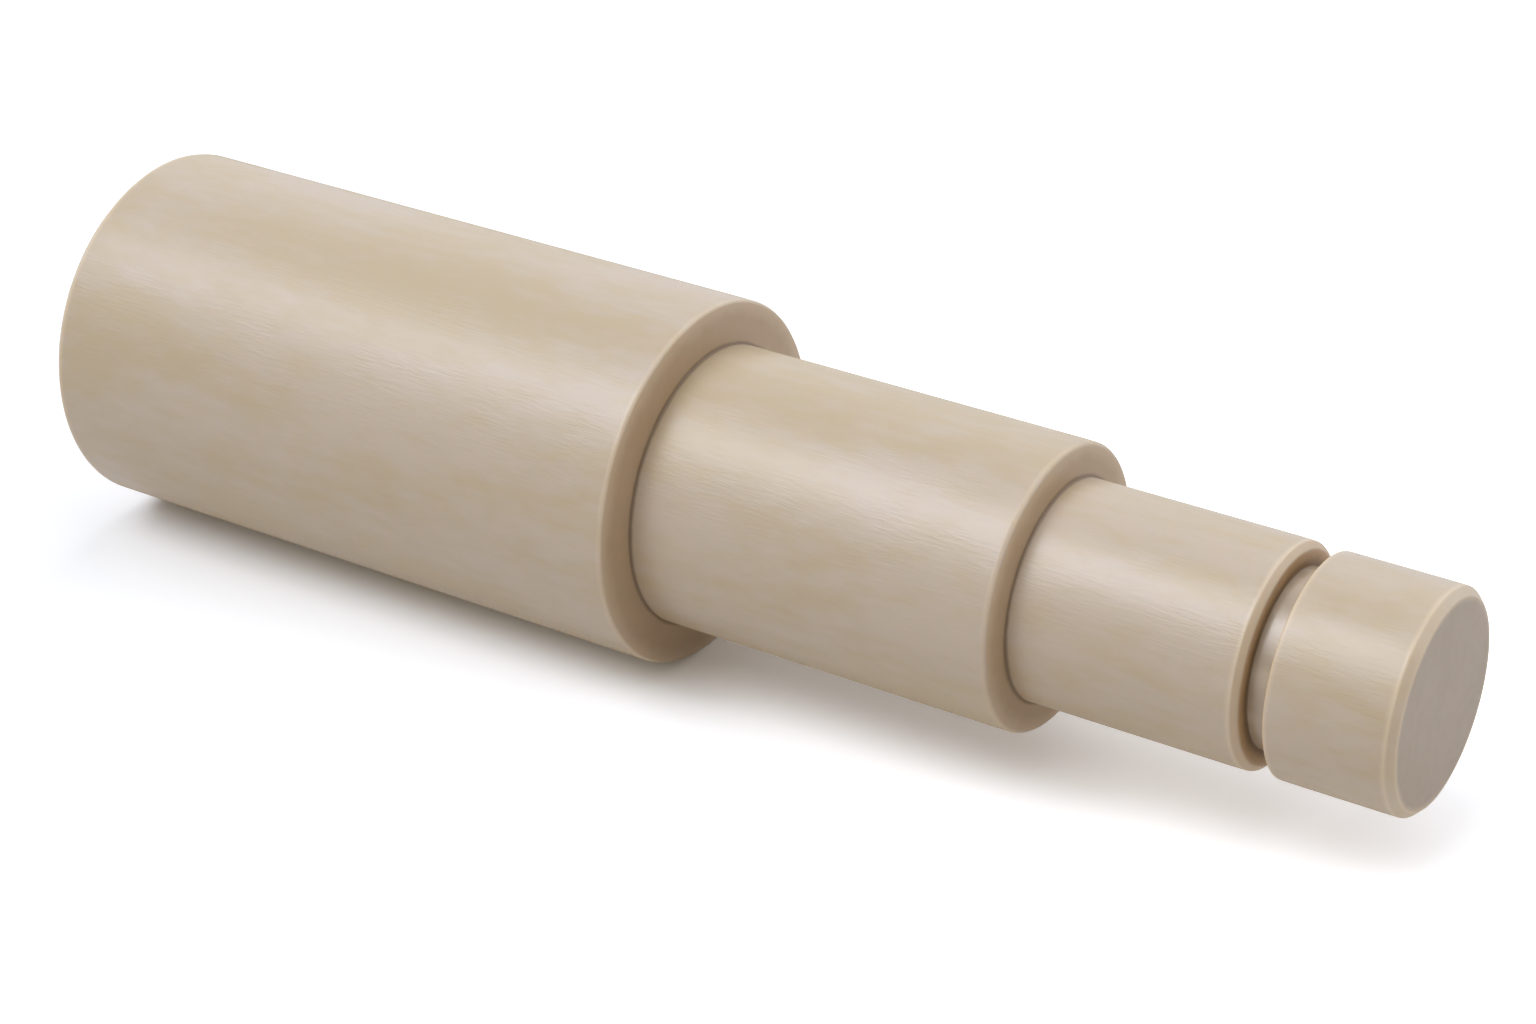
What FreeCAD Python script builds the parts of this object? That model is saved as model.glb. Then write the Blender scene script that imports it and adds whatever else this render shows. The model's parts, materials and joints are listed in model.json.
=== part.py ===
"""Stepped shaft, turned in one piece from round plastic bar.

The shaft stands on its large end. Z runs up the turning axis, and the origin is
the centre of the large end's face. All sizes are in millimetres.
"""

import FreeCAD, Part
import math
import os
from collections import namedtuple

# Diameters, from the large end to the small one.
BODY_DIAMETER = 30.0
COLLAR_DIAMETER = 23.0
SEAT_DIAMETER = 17.7
GROOVE_DIAMETER = 14.0
END_LAND_DIAMETER = 17.5

# Lengths along the axis, in the same order.
BODY_LENGTH = 56.0
COLLAR_LENGTH = 32.0
SEAT_LENGTH = 19.2
GROOVE_WIDTH = 2.1
END_LAND_LENGTH = 10.1

# Edges that are cut back at 45 degrees, measured along either leg.
BODY_END_CHAMFER = 0.6
SMALL_END_CHAMFER = 0.6
GROOVE_LEAD_CHAMFER = 0.5

# Edges that are broken with a small radius.
BODY_RIM_RADIUS = 0.25
COLLAR_RIM_RADIUS = 0.25
END_LAND_RIM_RADIUS = 0.25

# Inside corners at the two shoulders, which keep the radius of the tool's nose.
# The groove's own inside corners are square, as a grooving tool leaves them.
SHOULDER_ROOT_RADIUS = 0.2

# Heights of the steps above the large end's face.
BODY_SHOULDER = BODY_LENGTH
COLLAR_SHOULDER = BODY_SHOULDER + COLLAR_LENGTH
GROOVE_START = COLLAR_SHOULDER + SEAT_LENGTH
GROOVE_END = GROOVE_START + GROOVE_WIDTH
TIP = GROOVE_END + END_LAND_LENGTH

# A corner of the section: where it is, and whether it is left sharp, cut back or rounded.
Corner = namedtuple("Corner", "radius height cut size", defaults=("sharp", 0))


def section_corners():
    """The corners of half the lengthwise section, from the axis at the large end to the axis at the tip."""
    body = BODY_DIAMETER / 2
    collar = COLLAR_DIAMETER / 2
    seat = SEAT_DIAMETER / 2
    groove = GROOVE_DIAMETER / 2
    end_land = END_LAND_DIAMETER / 2
    return [
        Corner(0, 0),
        Corner(body, 0, "chamfer", BODY_END_CHAMFER),
        Corner(body, BODY_SHOULDER, "round", BODY_RIM_RADIUS),
        Corner(collar, BODY_SHOULDER, "round", SHOULDER_ROOT_RADIUS),
        Corner(collar, COLLAR_SHOULDER, "round", COLLAR_RIM_RADIUS),
        Corner(seat, COLLAR_SHOULDER, "round", SHOULDER_ROOT_RADIUS),
        Corner(seat, GROOVE_START, "chamfer", GROOVE_LEAD_CHAMFER),
        Corner(groove, GROOVE_START),
        Corner(groove, GROOVE_END),
        Corner(end_land, GROOVE_END, "round", END_LAND_RIM_RADIUS),
        Corner(end_land, TIP, "chamfer", SMALL_END_CHAMFER),
        Corner(0, TIP),
    ]


def cut_edge(before, corner, after, cut, size):
    """The short edge that replaces a square corner: a straight cut, or an arc that meets both sides smoothly."""
    back = (before - corner).normalize() * size
    onward = (after - corner).normalize() * size
    if cut == "chamfer":
        return Part.makeLine(corner + back, corner + onward)
    centre = corner + back + onward
    middle = centre - (back + onward) / math.sqrt(2)
    return Part.Arc(corner + back, middle, corner + onward).toShape()


def half_section():
    """Half the lengthwise section as a flat face, with one straight edge on the axis."""
    corners = section_corners()
    points = [FreeCAD.Vector(corner.radius, 0, corner.height) for corner in corners]
    edges = []
    pen = points[0]
    for before, point, after, corner in zip(points, points[1:], points[2:], corners[1:]):
        if corner.cut == "sharp":
            edges.append(Part.makeLine(pen, point))
            pen = point
            continue
        cut = cut_edge(before, point, after, corner.cut, corner.size)
        edges.append(Part.makeLine(pen, cut.firstVertex().Point))
        edges.append(cut)
        pen = cut.lastVertex().Point
    edges.append(Part.makeLine(pen, points[-1]))
    edges.append(Part.makeLine(points[-1], points[0]))
    return Part.Face(Part.Wire(edges))


def stepped_shaft():
    """The whole shaft: its half section turned once round the axis."""
    origin = FreeCAD.Vector(0, 0, 0)
    axis = FreeCAD.Vector(0, 0, 1)
    return half_section().revolve(origin, axis, 360)


def main():
    os.makedirs("parts", exist_ok=True)
    shaft = stepped_shaft()
    shaft.exportStep("parts/stepped_shaft.step")
    box = shaft.optimalBoundingBox(False)
    print("valid", shaft.isValid(), "solids", len(shaft.Solids), "faces", len(shaft.Faces))
    print(f"volume {shaft.Volume:.1f} mm3, height {box.ZLength:.2f} mm, across {box.XLength:.2f} mm")


main()
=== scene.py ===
# %% [markdown]
# # A stepped shaft of beige plastic
#
# The object is a shaft turned in one piece from a round plastic bar. It steps down from a
# thick body to a collar and a slimmer seat, and has a narrow ring groove just before its
# chamfered small end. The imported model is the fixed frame: it says how big every step is and
# where it lies. This file gives the shaft its surface, and sets the light, floor and camera.

import json
import math
from collections import namedtuple

import bmesh
import bpy
from mathutils import Matrix, Vector, noise


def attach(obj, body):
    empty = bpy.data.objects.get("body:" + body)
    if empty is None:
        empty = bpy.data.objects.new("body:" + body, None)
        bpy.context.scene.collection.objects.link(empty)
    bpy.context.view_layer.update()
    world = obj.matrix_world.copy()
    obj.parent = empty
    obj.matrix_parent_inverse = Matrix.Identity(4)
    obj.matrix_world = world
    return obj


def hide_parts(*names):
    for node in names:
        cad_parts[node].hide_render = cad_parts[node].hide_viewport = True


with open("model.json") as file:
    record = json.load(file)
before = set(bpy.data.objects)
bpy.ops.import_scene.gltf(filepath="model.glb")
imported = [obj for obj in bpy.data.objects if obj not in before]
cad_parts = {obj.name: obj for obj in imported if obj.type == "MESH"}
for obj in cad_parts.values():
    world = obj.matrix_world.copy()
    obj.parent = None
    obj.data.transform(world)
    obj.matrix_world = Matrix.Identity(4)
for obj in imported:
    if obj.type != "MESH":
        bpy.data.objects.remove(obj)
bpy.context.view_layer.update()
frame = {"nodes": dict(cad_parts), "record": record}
MM = 0.001

# %% [markdown]
# ## Where things lie round the shaft
#
# The model stands on its large end, with its axis along Z. In the picture it lies on its side
# on a pale floor. The model isn't moved for that. Instead the floor is an upright plane that
# just touches the thick body, and the camera is turned so that this plane looks level. Three
# directions describe the picture: along the shaft to its small end, across the floor toward
# the camera, and up from the floor.

# %% The picture's own directions
FLOOR_TURN = math.radians(22.5)
ALONG = Vector((0, 0, 1))
UP = Vector((math.cos(FLOOR_TURN), math.sin(FLOOR_TURN), 0))
TOWARD = ALONG.cross(UP)


def in_picture(along, toward, up):
    """A vector of the model's frame, from its three parts in the picture."""
    return along * ALONG + toward * TOWARD + up * UP


print("up in the picture is", [round(value, 3) for value in UP], "in the model")

# %% [markdown]
# ## The camera
#
# The photograph was taken from a little above, looking back along the shaft from its small
# end, with a long lens. The angles, the distance and the focal length were found by fitting
# the ellipses of the rims. The aim is a point on the shaft's middle plane, near half its length.

# %% Place the camera
CAMERA_RISE = math.radians(27.956)
CAMERA_SWING = math.radians(57.118)
CAMERA_DISTANCE = 292.9 * MM
AIM = in_picture(62.76 * MM, 1.58 * MM, 0)
FOCAL_LENGTH = 87.27
SENSOR_WIDTH = 36.0


def turn_to(direction, top):
    """A rotation that looks along a direction, with another one upright in the picture."""
    back = -direction.normalized()
    right = top.cross(back).normalized()
    return Matrix((right, back.cross(right), back)).transposed().to_4x4()


camera = bpy.data.objects.new("camera", bpy.data.cameras.new("camera"))
bpy.context.scene.collection.objects.link(camera)
bpy.context.scene.camera = camera
camera.data.sensor_width = SENSOR_WIDTH
camera.data.lens = FOCAL_LENGTH
camera.data.clip_start = 10 * MM
camera.data.clip_end = 20
flat_reach = math.cos(CAMERA_RISE)
to_camera = in_picture(
    flat_reach * math.cos(CAMERA_SWING), flat_reach * math.sin(CAMERA_SWING), math.sin(CAMERA_RISE))
camera.matrix_world = (
    Matrix.Translation(AIM + to_camera * CAMERA_DISTANCE) @ turn_to(-to_camera, UP))
print("camera at", [round(value / MM, 1) for value in camera.location], "mm")

# %% [markdown]
# ## The sizes of the steps
#
# The sizes aren't typed in again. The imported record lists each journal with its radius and
# length, and each shoulder with its height, so the outline is read from there. Only the
# groove's floor isn't listed, and it is the slimmest ring of the model between its two walls.

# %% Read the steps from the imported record
Journal = namedtuple("Journal", "radius low high")
mounts = {mount["name"]: mount for mount in frame["record"]["mounts"]}


def journal(name):
    """A journal of the shaft: its radius and the heights of its two ends, in metres."""
    mount = mounts[name]
    half = mount["dims"]["length_mm"] * MM / 2
    return Journal(mount["dims"]["r_mm"] * MM, mount["pos_m"][2] - half, mount["pos_m"][2] + half)


body = journal("body_journal")
collar = journal("collar_journal")
seat = journal("seat_journal")
land = journal("end_land")
body_shoulder = mounts["body_shoulder"]["pos_m"][2]
collar_shoulder = mounts["collar_shoulder"]["pos_m"][2]
tip = mounts["small_end"]["pos_m"][2]
print("radii in mm:", [round(step.radius / MM, 3) for step in (body, collar, seat, land)])

# %% Find the groove in the model
MODEL = "stepped_shaft"
model_rings = {
    (round(vertex.co.xy.length, 7), round(vertex.co.z, 7)) for vertex in frame["nodes"][MODEL].data.vertices}
groove, groove_start = min(ring for ring in model_rings if seat.high < ring[1] < land.low)
groove_end = max(height for radius, height in model_rings if radius == groove)
print("groove floor: radius", round(groove / MM, 3), "mm")
print("groove walls at", round(groove_start / MM, 2), "and", round(groove_end / MM, 2), "mm")

# %% [markdown]
# ## The outline
#
# A turned part is a line spun round an axis, so its whole shape is in one outline. A lathe
# never leaves a perfectly sharp corner: outward edges are broken, and inward ones keep the
# radius of the tool's nose. Those small curves catch the light and draw the thin bright lines
# along every rim, so each corner of the outline has a radius of its own, and so does each edge
# of a chamfer. Each corner also names the finish of the surface that comes after it. The two
# shoulders lean forward by a third to nearly a half of a millimetre, since the photograph shows
# their inner corners a little nearer to the small end than a square face would put them.

# %% List the corners, from the large end's centre to the small end's
Corner = namedtuple("Corner", "radius height rounding finish")
END, TURNED, SHOULDER, WALL, BED = range(5)
SOFTENED = 0.25 * MM
BODY_RIM = 0.3 * MM
COLLAR_RIM = 0.4 * MM
LAND_RIM = 0.12 * MM
SHOULDER_ROOT = 0.1 * MM
GROOVE_CORNER = 0.06 * MM
SHOULDER_LEAN = 0.12
end_chamfer = body.low
lead_chamfer = groove_start - seat.high
tip_chamfer = tip - land.high
collar_root = body_shoulder + SHOULDER_LEAN * (body.radius - collar.radius)
seat_root = collar_shoulder + SHOULDER_LEAN * (collar.radius - seat.radius)
corners = [
    Corner(0, 0, 0, END),
    Corner(body.radius - end_chamfer, 0, SOFTENED, TURNED),
    Corner(body.radius, end_chamfer, SOFTENED, TURNED),
    Corner(body.radius, body_shoulder, BODY_RIM, SHOULDER),
    Corner(collar.radius, collar_root, SHOULDER_ROOT, TURNED),
    Corner(collar.radius, collar_shoulder, COLLAR_RIM, SHOULDER),
    Corner(seat.radius, seat_root, SHOULDER_ROOT, TURNED),
    Corner(seat.radius, seat.high, SOFTENED, SHOULDER),
    Corner(seat.radius - lead_chamfer, groove_start, SOFTENED, WALL),
    Corner(groove, groove_start, GROOVE_CORNER, BED),
    Corner(groove, groove_end, GROOVE_CORNER, WALL),
    Corner(land.radius, groove_end, LAND_RIM, TURNED),
    Corner(land.radius, land.high, SOFTENED, TURNED),
    Corner(land.radius - tip_chamfer, tip, SOFTENED, END),
    Corner(0, tip, 0, END),
]
print(len(corners), "corners, of which", sum(corner.rounding > 0 for corner in corners), "are rounded")

# %% [markdown]
# ## Rounding a corner
#
# A bevel modifier could soften the finished mesh, but it treats every edge that it finds alike.
# Rounding the outline before it is spun gives each corner a true arc of its own. The arc's
# centre lies on the line that halves the corner, as far in as the radius asks for.

# %% Round one corner
ARC_STEPS = 6


def rounded(before, corner, after, radius):
    """Points of the arc that touches both sides of a corner, and whether the corner points outward."""
    back = (before - corner).normalized()
    onward = (after - corner).normalized()
    half_opening = back.angle(onward) / 2
    centre = corner + (back + onward).normalized() * radius / math.sin(half_opening)
    start = corner + back * radius / math.tan(half_opening) - centre
    outward = onward.x * back.y - onward.y * back.x > 0
    turn = (math.pi - 2 * half_opening) * (1 if outward else -1)
    turns = [Matrix.Rotation(turn * step / ARC_STEPS, 2) for step in range(ARC_STEPS + 1)]
    return [centre + turned @ start for turned in turns], outward


print("each arc has", ARC_STEPS + 1, "points")

# %% [markdown]
# ## Points along the outline
#
# Smooth shading blends the tilt of neighbouring faces, so a long face beside a tiny arc would
# look bent. A point close to each arc keeps that blend short. The rest of a straight run is
# divided evenly, which keeps the faces near square.

# %% Put points on a straight run
GUARD = 0.08 * MM
RUN_STEP = 1.5 * MM


def along_run(start, end):
    """Points on a straight run: one close to each end, and the rest spread evenly."""
    length = (end - start).length
    if length < 4 * GUARD:
        return []
    parts = max(1, round((length - 2 * GUARD) / RUN_STEP))
    reaches = [GUARD + (length - 2 * GUARD) * part / parts for part in range(parts + 1)]
    return [start.lerp(end, reach / length) for reach in reaches]


print("a run is divided about every", RUN_STEP / MM, "mm")

# %% Join the arcs and the runs
Point = namedtuple("Point", "place finish")
places = [Vector((corner.radius, corner.height)) for corner in corners]
outline = [Point(places[0], END)]
outer_edges = []
inner_edges = []
for before, place, after, corner in zip(places, places[1:], places[2:], corners[1:]):
    last = outline[-1]
    arc, outward = rounded(before, place, after, corner.rounding)
    (outer_edges if outward else inner_edges).append(place)
    outline += [Point(point, last.finish) for point in along_run(last.place, arc[0]) + arc[:-1]]
    outline.append(Point(arc[-1], corner.finish))
outline += [Point(point, END) for point in along_run(outline[-1].place, places[-1]) + places[-1:]]
print(len(outline), "points,", len(outer_edges), "outward edges,", len(inner_edges), "inward corners")

# %% [markdown]
# ## Spinning the outline
#
# Every point becomes a ring of vertices, and neighbouring rings are joined by faces. A point on
# the axis stays one vertex, and its faces are triangles. A screw modifier could spin the line
# too, but then every ring would be perfectly round. The edges of the real shaft aren't: the cut
# wanders by a few hundredths of a millimetre, so a ring near an outward edge is pushed inward
# here and there by smooth noise. The whole skin also lies a hair inside the model's, whose
# rings are coarser.

# %% Make one ring
SEGMENTS = 256
HAIR = 0.015 * MM
WANDER = 0.04 * MM
WANDER_REACH = 0.5 * MM
WANDER_LENGTH = 2.5 * MM


def nearest(place, edges):
    """Distance from a place to the nearest of some edges."""
    return min((place - edge).length for edge in edges)


def ring_of(shell, place):
    """One vertex for each segment, or the same vertex for all of them on the axis."""
    if place.x == 0:
        return [shell.verts.new((0, 0, place.y))] * SEGMENTS
    nearness = max(0, 1 - nearest(place, outer_edges) / WANDER_REACH)
    ring = []
    for segment in range(SEGMENTS):
        turn = 2 * math.pi * segment / SEGMENTS
        spot = Vector((place.x * math.cos(turn), place.x * math.sin(turn), place.y))
        worn = WANDER * nearness * (0.5 + 0.5 * noise.noise(spot / WANDER_LENGTH))
        radius = place.x - HAIR - worn
        ring.append(shell.verts.new((radius * math.cos(turn), radius * math.sin(turn), place.y)))
    return ring


print("a ring has", SEGMENTS, "vertices, and an edge wanders by up to", WANDER / MM, "mm")

# %% Join the rings into a mesh
shell = bmesh.new()
ring_list = [ring_of(shell, point.place) for point in outline]
for point, lower, upper in zip(outline, ring_list, ring_list[1:]):
    for here in range(SEGMENTS):
        there = (here + 1) % SEGMENTS
        loop = dict.fromkeys((lower[here], lower[there], upper[there], upper[here]))
        face = shell.faces.new(list(loop))
        face.smooth = True
        face.material_index = point.finish
mesh = bpy.data.meshes.new("turned_shaft")
shell.to_mesh(mesh)
shell.free()
print(len(mesh.vertices), "vertices and", len(mesh.polygons), "faces")

# %% [markdown]
# ## How far each vertex is from an edge
#
# The rims of the real shaft look creamier than its long faces and its inward corners darker, and the
# materials paint that as a cream glow and a brown shade. A material could look for edges while it renders,
# but that is slow and coarse. The outline knows where its edges are, so each vertex keeps its distance from
# the nearest outward edge and from the nearest inward corner, in millimetres. The piece then takes the place
# of the model's own plain surface.

# %% Keep the distances, and place the shaft
for name, edges in (("rim_distance", outer_edges), ("root_distance", inner_edges)):
    distances = mesh.attributes.new(name, "FLOAT", "POINT")
    for vertex, distance in zip(mesh.vertices, distances.data):
        distance.value = nearest(Vector((vertex.co.xy.length, vertex.co.z)), edges) / MM
shaft = bpy.data.objects.new("turned_shaft", mesh)
bpy.context.scene.collection.objects.link(shaft)
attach(shaft, "root")
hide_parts(MODEL)
print(shaft.name, "carries", [name for name in mesh.attributes.keys() if name.endswith("distance")])

# %% [markdown]
# ## Building materials from nodes
#
# A material is a graph of nodes. One helper adds a node and fills its inputs, with a plain value
# or with another node's output, so that each later step reads as a list of what feeds what.
# Another mixes two colours, and a third makes a node group with named sockets, for the effects
# that several materials use.

# %% Helpers for nodes


def add(tree, kind, feeds=None, **settings):
    """Adds a node. Each input in feeds gets a value, or a link from an output socket."""
    made = tree.nodes.new("ShaderNode" + kind)
    for name, value in settings.items():
        setattr(made, name, value)
    for name, value in (feeds or {}).items():
        if isinstance(value, bpy.types.NodeSocket):
            tree.links.new(value, made.inputs[name])
        else:
            made.inputs[name].default_value = value
    return made


def mixed(tree, factor, first, second):
    """The colour between two others. A Mix node's colour sockets are found by their numbers, 6, 7 and 2."""
    return add(tree, "Mix", {"Factor": factor, 6: first, 7: second}, data_type="RGBA").outputs[2]


def new_group(name, inputs, outputs):
    """A node group with named sockets, its input node, and its output node."""
    group = bpy.data.node_groups.new(name, "ShaderNodeTree")
    for direction, sockets in (("INPUT", inputs), ("OUTPUT", outputs)):
        for socket, kind in sockets.items():
            group.interface.new_socket(socket, in_out=direction, socket_type="NodeSocket" + kind)
    return group, group.nodes.new("NodeGroupInput"), group.nodes.new("NodeGroupOutput")


print("helpers:", ", ".join(helper.__name__ for helper in (add, mixed, new_group)))

# %% [markdown]
# ## Cloudy colour
#
# Pressed and sintered plastic bar isn't one even beige. Slow clouds of a yellower and a pinker
# tone lie along the bar, a few millimetres wide and longer along the axis, with finer mottling
# inside them. Noise in the object's own coordinates gives both, and stays put on the surface.

# %% Group: cloudy colour
clouds, given, wanted = new_group(
    "cloudy colour",
    {"Position": "Vector", "Yellow": "Color", "Pink": "Color"},
    {"Color": "Color"})
stretched = add(clouds, "Mapping", {"Vector": given.outputs["Position"], "Scale": (0.15, 0.15, 0.05)})
slow = add(clouds, "TexNoise", {"Vector": stretched.outputs["Vector"], "Scale": 1.0, "Detail": 2.0})
fine = add(clouds, "TexNoise", {"Vector": stretched.outputs["Vector"], "Scale": 6.0, "Detail": 3.0})
both = add(clouds, "Mix", {"Factor": 0.4, "A": slow.outputs["Fac"], "B": fine.outputs["Fac"]})
spread = add(clouds, "MapRange", {
    "Value": both.outputs["Result"], "From Min": 0.41, "From Max": 0.59})
tone = mixed(clouds, spread.outputs["Result"], given.outputs["Yellow"], given.outputs["Pink"])
clouds.links.new(tone, wanted.inputs["Color"])
print("group", clouds.name, "has", len(clouds.nodes), "nodes")

# %% [markdown]
# ## Fine scratches along the axis
#
# The skin of the bar has short fine scratches that run along it. They show only where light
# glances off. Noise that is squeezed round the shaft and stretched along it gives such streaks.
# Only its upper half is kept, so that plain skin stays between them, and a slower noise makes
# them come and go.

# %% Group: axial scratches
scratches, given, wanted = new_group(
    "axial scratches",
    {"Position": "Vector"},
    {"Height": "Float"})
squeezed = add(scratches, "Mapping", {"Vector": given.outputs["Position"], "Scale": (4.0, 4.0, 0.45)})
streaks = add(scratches, "TexNoise", {
    "Vector": squeezed.outputs["Vector"], "Scale": 1.0, "Detail": 3.0, "Roughness": 0.6, "Distortion": 0.4})
sparse = add(scratches, "MapRange", {"Value": streaks.outputs["Fac"], "From Min": 0.4, "From Max": 0.75})
patches = add(scratches, "TexNoise", {"Vector": given.outputs["Position"], "Scale": 0.25, "Detail": 2.0})
depth = add(scratches, "MapRange", {
    "Value": patches.outputs["Fac"], "From Min": 0.4, "From Max": 0.6, "To Min": 0.4})
cut = add(scratches, "Math", {
    0: sparse.outputs["Result"], 1: depth.outputs["Result"]}, operation="MULTIPLY")
scratches.links.new(cut.outputs[0], wanted.inputs["Height"])
print("group", scratches.name, "has", len(scratches.nodes), "nodes")

# %% [markdown]
# ## Edges and corners
#
# This plastic lets light in a little way. At a rim the light comes in from two sides, so the edge looks
# creamier than the rest, fading over about a millimetre; that glow is painted in as a cream tint. In an
# inward corner the light is trapped instead, and the corner draws a brown line of painted shade. Both are
# masks made from the distances that the mesh carries, and a slow noise lets their width waver as it does on
# a hand-finished part.

# %% Group: near an edge
near_edge, given, wanted = new_group(
    "near an edge",
    {"Position": "Vector", "Distance": "Float", "Reach": "Float"},
    {"Mask": "Float"})
slow = add(near_edge, "TexNoise", {"Vector": given.outputs["Position"], "Scale": 0.4, "Detail": 2.0})
waver = add(near_edge, "MapRange", {
    "Value": slow.outputs["Fac"], "From Min": 0.3, "From Max": 0.7, "To Min": 0.8, "To Max": 1.2})
reach = add(near_edge, "Math", {
    0: given.outputs["Reach"], 1: waver.outputs["Result"]}, operation="MULTIPLY")
fade = add(near_edge, "MapRange", {
    "Value": given.outputs["Distance"], "From Max": reach.outputs[0], "To Min": 1.0, "To Max": 0.0},
    interpolation_type="SMOOTHSTEP")
near_edge.links.new(fade.outputs["Result"], wanted.inputs["Mask"])
print("group", near_edge.name, "has", len(near_edge.nodes), "nodes")

# %% [markdown]
# ## The finishes
#
# One plastic has five finishes. The long cylinders keep a satin skin. The ends were faced and look greyer.
# The shoulders are tan, partly their own colour and partly painted shade of the step, and the groove's walls
# are browner still with painted shade of the groove. The groove's bed was burnished by the narrow tool, so
# it shines more, and it is paler than the skin: partly its own burnished grey and partly painted light that
# lifts the groove's shade. Five materials could be drawn one by one, but they share nearly every node, so
# they are a list of values and one function. A finish is named by its two cloud colours, its roughness, the
# depth of its scratches, and how far the painted cream glow of its rims and the painted brown shade of its
# corners reach in millimetres.

# %% List the finishes
Finish = namedtuple("Finish", "name colours roughness scratch_depth rim_reach root_reach")


def srgb(red, green, blue):
    """A colour as a picture shows it, from 0 to 255, turned into the linear values that a shader takes."""
    linear = [(value / 255 / 12.92) if value < 11 else ((value / 255 + 0.055) / 1.055) ** 2.4
              for value in (red, green, blue)]
    return (*linear, 1)


SKIN = (srgb(191, 173, 143), srgb(196, 180, 161))
FACED_GREY = (srgb(172, 156, 135), srgb(178, 162, 145))
# Tan of the shoulders: partly their own colour, partly painted shade of the step.
SHOULDER_TAN_AND_SHADE = (srgb(183, 157, 125), srgb(187, 161, 131))
# Browner walls of the groove: painted shade of the recess.
WALL_BROWN_PAINTED_SHADE = (srgb(189, 157, 114), srgb(192, 161, 120))
# Paler bed of the groove: its own burnished grey, lifted by painted light.
BED_GREY_PAINTED_LIGHT = (srgb(203, 187, 163), srgb(207, 191, 170))
finishes = {
    END: Finish("faced_end", FACED_GREY, 0.45, 0.005 * MM, 0.6, 1.0),
    TURNED: Finish("satin_skin", SKIN, 0.34, 0.014 * MM, 0.5, 0.35),
    SHOULDER: Finish("faced_shoulder", SHOULDER_TAN_AND_SHADE, 0.5, 0.003 * MM, 1.7, 0.35),
    WALL: Finish("groove_wall", WALL_BROWN_PAINTED_SHADE, 0.5, 0.005 * MM, 0.5, 1.0),
    BED: Finish("groove_bed", BED_GREY_PAINTED_LIGHT, 0.22, 0.006 * MM, 0.1, 0.25),
}
for finish in finishes.values():
    print(finish.name, "has roughness", finish.roughness)

# %% [markdown]
# ## Painted glow on rims and painted shade in corners
#
# The same step makes both: a mask from the distance to an edge mixes a tint over the clouds, a painted cream
# glow at rims and a painted brown shade in corners. The mask is never let in fully, so that the clouds still
# show through the tint.

# %% Paint glow and shade near the edges
# Painted glow: a cream tint at the rims.
PAINTED_RIM_GLOW = srgb(221, 204, 176)
# Painted shade: a brown line in the inward corners.
PAINTED_CORNER_SHADE = srgb(112, 86, 58)
RIM_GLOW_AMOUNT = 0.55
CORNER_SHADE_AMOUNT = 0.8


def tinted(tree, position, tone, distance_name, reach, tint, amount):
    """A tone with a tint mixed in near the edges that the named distance is measured from, which paints the
    glow of the rims and the shade of the corners.
    """
    distance = add(tree, "Attribute", attribute_name=distance_name)
    mask = add(tree, "Group", {
        "Position": position, "Distance": distance.outputs["Fac"], "Reach": reach}, node_tree=near_edge)
    part = add(tree, "Math", {0: mask.outputs["Mask"], 1: amount}, operation="MULTIPLY")
    return mixed(tree, part.outputs[0], tone, tint)


print("rims are tinted by", RIM_GLOW_AMOUNT, "and corners by", CORNER_SHADE_AMOUNT)

# %% [markdown]
# ## Gloss
#
# The scratches stand in the skin as a bump, and shine a little more than the rest. A smooth skin
# seen edge on mirrors any light completely. Fine turning marks break that up on the real shaft,
# so the gloss fades out toward the silhouette, by how far the surface faces away.

# %% Set the gloss of a finish
STREAK_SHINE = 0.05
FULL_GLOSS = 0.5
GLOSS_FADES_FROM = 0.55
GLOSS_GONE_BY = 0.93


def set_gloss(tree, shader, position, finish):
    """Gives a shader its scratches, and a gloss that fades where the surface is seen edge on."""
    streaks = add(tree, "Group", {"Position": position}, node_tree=scratches)
    height = streaks.outputs["Height"]
    bump = add(tree, "Bump", {"Height": height, "Distance": finish.scratch_depth})
    tree.links.new(bump.outputs["Normal"], shader.inputs["Normal"])
    shining = add(tree, "MapRange", {
        "Value": height, "To Min": finish.roughness, "To Max": finish.roughness - STREAK_SHINE})
    tree.links.new(shining.outputs["Result"], shader.inputs["Roughness"])
    edge_on = add(tree, "LayerWeight", {"Blend": 0.5})
    fading = add(tree, "MapRange", {
        "Value": edge_on.outputs["Facing"], "From Min": GLOSS_FADES_FROM, "From Max": GLOSS_GONE_BY,
        "To Min": FULL_GLOSS, "To Max": 0.0})
    tree.links.new(fading.outputs["Result"], shader.inputs["Specular IOR Level"])


print("gloss fades from", GLOSS_FADES_FROM, "to", GLOSS_GONE_BY, "of facing away")

# %% [markdown]
# ## The plastic
#
# The noise is measured in millimetres, so the object's coordinates are scaled up first. Light
# that enters the plastic comes out again a short way off, redder than it went in. That softens
# the shadows in the groove and warms the rims, and the shader's subsurface values do it.

# %% Make the five materials
PER_METRE = 1 / MM
REFRACTION = 1.6
LIGHT_LET_IN = 0.6
SCATTER = (0.8, 0.5, 0.3)


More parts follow.
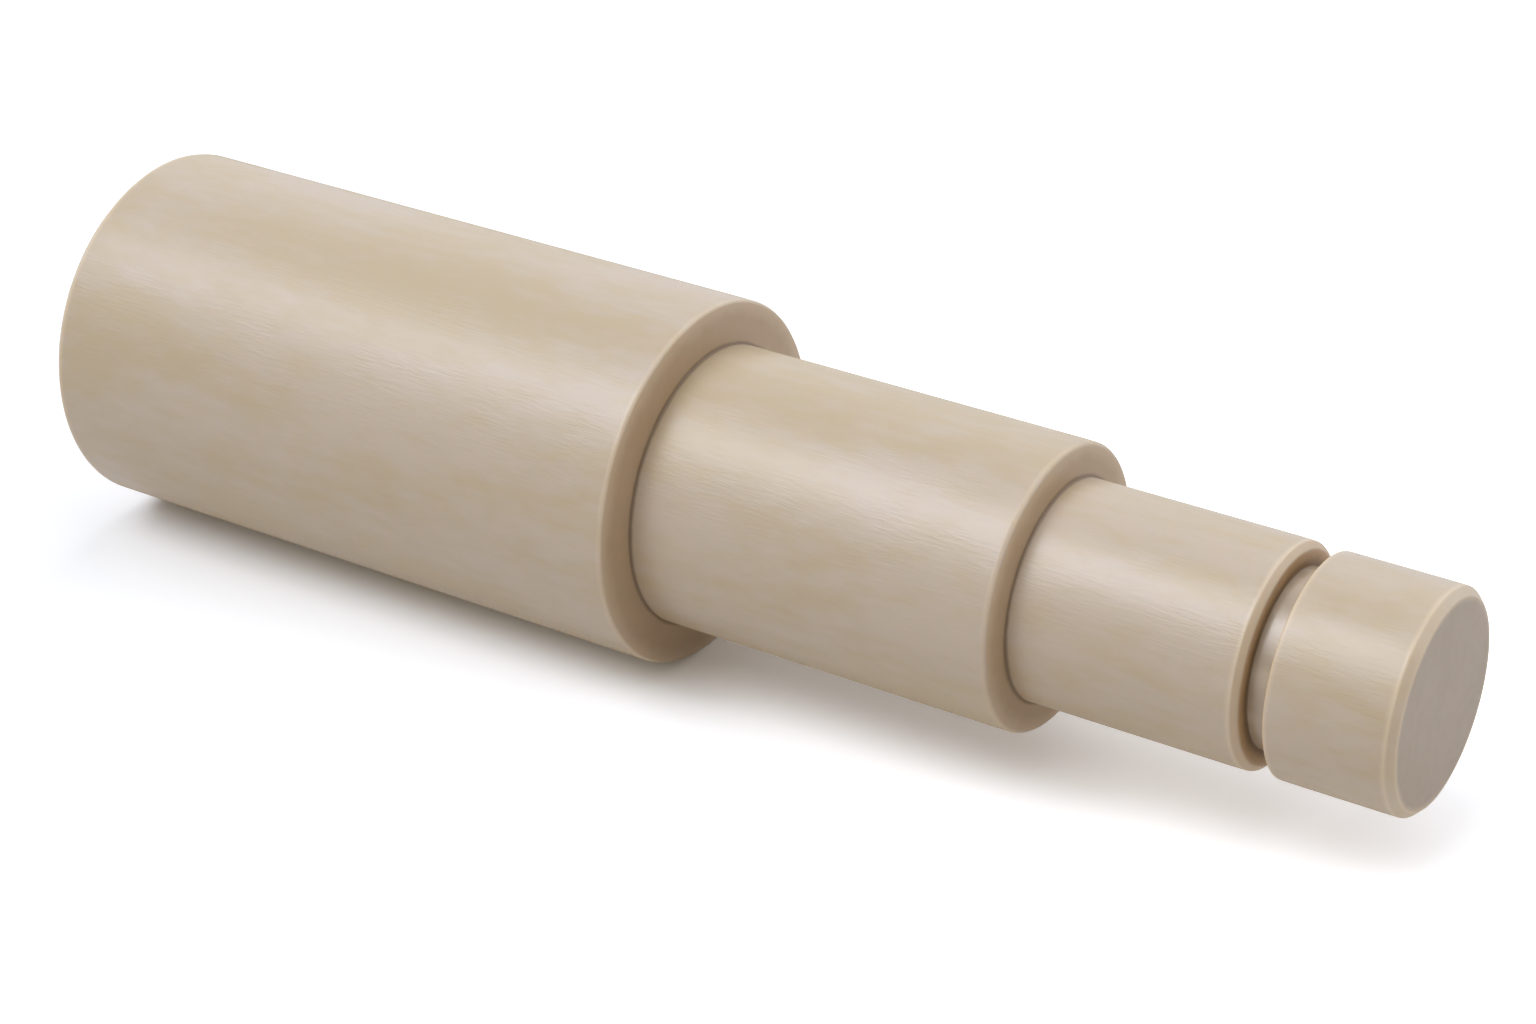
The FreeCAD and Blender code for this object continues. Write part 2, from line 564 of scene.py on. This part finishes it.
def plastic(finish):
    """The plastic, with one of its finishes."""
    material = bpy.data.materials.new(finish.name)
    material.use_nodes = True
    tree = material.node_tree
    shader = tree.nodes["Principled BSDF"]
    where = add(tree, "TexCoord")
    in_mm = add(tree, "VectorMath", {0: where.outputs["Object"], 1: [PER_METRE] * 3}, operation="MULTIPLY")
    position = in_mm.outputs["Vector"]
    yellow, pink = finish.colours
    cloudy = add(tree, "Group", {"Position": position, "Yellow": yellow, "Pink": pink}, node_tree=clouds)
    # Painted cream glow near the rims.
    glowing_rims = tinted(
        tree, position, cloudy.outputs["Color"], "rim_distance", finish.rim_reach, PAINTED_RIM_GLOW, RIM_GLOW_AMOUNT)
    # Painted brown shade in the inward corners.
    tone = tinted(tree, position, glowing_rims, "root_distance", finish.root_reach, PAINTED_CORNER_SHADE, CORNER_SHADE_AMOUNT)
    tree.links.new(tone, shader.inputs["Base Color"])
    set_gloss(tree, shader, position, finish)
    shader.inputs["IOR"].default_value = REFRACTION
    shader.inputs["Subsurface Weight"].default_value = LIGHT_LET_IN
    shader.inputs["Subsurface Radius"].default_value = SCATTER
    shader.inputs["Subsurface Scale"].default_value = MM
    return material


for index in sorted(finishes):
    mesh.materials.append(plastic(finishes[index]))
print(len(mesh.materials), "materials")

# %% [markdown]
# ## The light
#
# The shading round the cylinders and the shape of the shadow tell where the light comes from. Two
# windows at the upper left, one narrow inside a wide glow, draw the bright band along the shaft.
# Wide windows behind it light the top and throw the soft shadow forward, and a wall in front
# lifts the side that we look at. Each lamp was first rendered alone, and the levels were chosen so
# that their sum follows the brightness measured round the shaft. Window light is a little cooler
# than what the walls give back. Some light also comes up through the paper, which keeps the
# underside from going black. A sun lamp with a wide angle stands for each window.

# %% Lamps
COOL = (0.97, 1.0, 1.08)
PLAIN = (1.0, 1.0, 1.04)
WARM = (1.02, 1.0, 0.94)


def soft_sun(name, from_direction, level, angle, colour):
    """A sun that lights a white surface facing it to a given level."""
    lamp = bpy.data.objects.new(name, bpy.data.lights.new(name, "SUN"))
    lamp.data.energy = level * math.pi
    lamp.data.angle = math.radians(angle)
    lamp.data.color = colour
    lamp.matrix_world = turn_to(-from_direction, ALONG)
    bpy.context.scene.collection.objects.link(lamp)
    print(name, "at level", level)


soft_sun("key_window", in_picture(-0.48, 0.41, 0.78), 0.147, 26, COOL)
soft_sun("key_glow", in_picture(-0.47, 0.47, 0.74), 0.23, 60, COOL)
soft_sun("overhead_window", in_picture(-0.2, 0.52, 0.83), 0.211, 40, COOL)
soft_sun("far_right_window", in_picture(0.47, -0.47, 0.74), 0.49, 95, PLAIN)
soft_sun("far_left_window", in_picture(-0.47, -0.47, 0.74), 0.173, 90, PLAIN)
soft_sun("near_wall", in_picture(0, 0.67, 0.74), 0.135, 60, WARM)
soft_sun("paper_glow", in_picture(0, 0, -1), 0.12, 120, WARM)

# %% [markdown]
# ## The white surroundings
#
# The room itself isn't in the picture. Behind the shaft everything is white, and a reflection
# shows the same white. The world therefore is white only where it is seen, and gives no light.

# %% World
world = bpy.data.worlds.new("studio")
bpy.context.scene.world = world
world.use_nodes = True
sky = world.node_tree
sky.nodes.clear()


def seen_directly(tree):
    """1 for rays that show a surface: from the camera, or by way of a reflection or glass."""
    path = add(tree, "LightPath")
    mirrored = add(tree, "Math", {
        0: path.outputs["Is Glossy Ray"], 1: path.outputs["Is Transmission Ray"]}, operation="MAXIMUM")
    seen = add(tree, "Math", {0: path.outputs["Is Camera Ray"], 1: mirrored.outputs[0]}, operation="MAXIMUM")
    return seen.outputs[0]


background = add(sky, "Background", {"Color": (1, 1, 1, 1), "Strength": seen_directly(sky)})
add(sky, "OutputWorld", {"Surface": background.outputs["Background"]})
print("world", world.name, "has", len(sky.nodes), "nodes")

# %% [markdown]
# ## The paper floor
#
# The shaft lies on white paper. A flat disc stands for it, wide enough to fill the picture, and
# just touches the thick body.

# %% Lay the floor
FLOOR_REACH = 3.0
FLOOR_MIDDLE = 60 * MM
floor_shape = bmesh.new()
bmesh.ops.create_circle(floor_shape, cap_ends=True, segments=96, radius=FLOOR_REACH)
floor_mesh = bpy.data.meshes.new("floor")
floor_shape.to_mesh(floor_mesh)
floor_shape.free()
floor = bpy.data.objects.new("floor", floor_mesh)
bpy.context.scene.collection.objects.link(floor)
floor.matrix_world = (
    Matrix.Translation(in_picture(FLOOR_MIDDLE, 0, -body.radius)) @ turn_to(-UP, ALONG))
print("floor", round(body.radius / MM, 1), "mm below the axis")

# %% [markdown]
# ## The paper's colour
#
# The paper keeps the shadow and throws warm light back up. The photograph was exposed until the open paper
# came out white, so the camera sees the paper brighter than it lights the shaft. Toward the small end the
# camera sees it brighter still, painted light that fades the shadow there. Seen from behind, the paper isn't
# drawn, so that the shaft can be looked at from every side, and it lets the lamp below through.

# %% Paper
FLOOR_PAPER = (0.73, 0.69, 0.64, 1)
FLOOR_SEEN = (1, 1, 1, 1)
FLOOR_BY_BODY = 1.1
# Painted light: the paper seen by the camera grows brighter toward the small end, fading the shadow there.
FLOOR_BY_TIP = 1.6
FLOOR_FADE = 60 * MM
FLOOR_TINT = (0.985, 1.0, 1.01)
paper = bpy.data.materials.new("paper_floor")
paper.use_nodes = True
tree = paper.node_tree
tree.nodes.clear()
path = add(tree, "LightPath")
whiteness = mixed(tree, seen_directly(tree), FLOOR_PAPER, FLOOR_SEEN)
where = add(tree, "TexCoord")
split = add(tree, "SeparateXYZ", {0: where.outputs["Object"]})
# Painted light on the paper: brighter toward the small end, where it fades the shadow.
exposure_and_painted_light = add(tree, "MapRange", {
    "Value": split.outputs["Y"], "From Min": -FLOOR_FADE, "From Max": FLOOR_FADE,
    "To Min": FLOOR_BY_BODY, "To Max": FLOOR_BY_TIP})
neutral = add(tree, "VectorMath", {0: exposure_and_painted_light.outputs["Result"], 1: FLOOR_TINT}, operation="MULTIPLY")
pictured = mixed(tree, path.outputs["Is Camera Ray"], whiteness, neutral.outputs["Vector"])
front = add(tree, "BsdfDiffuse", {"Color": pictured})
behind = add(tree, "BsdfTransparent")
sides = add(tree, "NewGeometry")
let_through = add(tree, "Math", {
    0: sides.outputs["Backfacing"], 1: path.outputs["Is Shadow Ray"]}, operation="MAXIMUM")
one_sided = add(tree, "MixShader", {
    0: let_through.outputs[0], 1: front.outputs["BSDF"], 2: behind.outputs["BSDF"]})
add(tree, "OutputMaterial", {"Surface": one_sided.outputs["Shader"]})
floor_mesh.materials.append(paper)
print("material", paper.name, "has", len(tree.nodes), "nodes")

# %% [markdown]
# ## Colours as written
#
# Colours are shown as they are written, with the standard view transform.

# %% Show colours as written
bpy.context.scene.view_settings.view_transform = "Standard"
